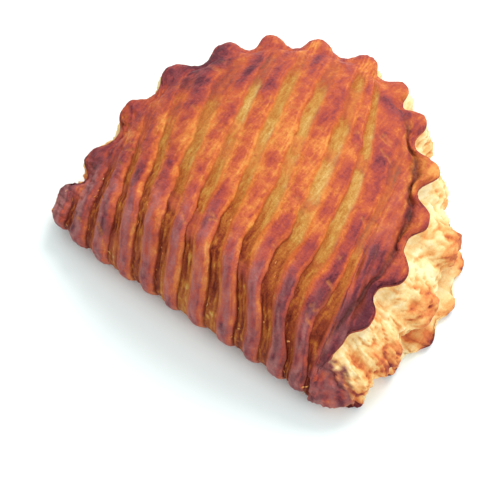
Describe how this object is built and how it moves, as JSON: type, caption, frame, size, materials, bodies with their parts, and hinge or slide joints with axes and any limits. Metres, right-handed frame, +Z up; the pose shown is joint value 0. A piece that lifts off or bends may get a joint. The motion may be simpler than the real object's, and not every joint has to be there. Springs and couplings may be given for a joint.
{
  "type": "fruit turnover",
  "caption": "Baked puff pastry parcel folded over a fruit filling, with a slashed domed top and a crimped, flaky cut edge; lies flat on its base.",
  "frame": {"origin": "centre of the rectangle that holds the plan, on the flat base", "axes": "+X along the fold, +Y from the fold to the top of the crimped arch, +Z up out of the domed top"},
  "size_m": [0.1422, 0.1244, 0.0411],
  "materials": {
    "pastry": null
  },
  "bodies": {
    "root": {"turnover": "pastry"}
  },
  "joints": []
}
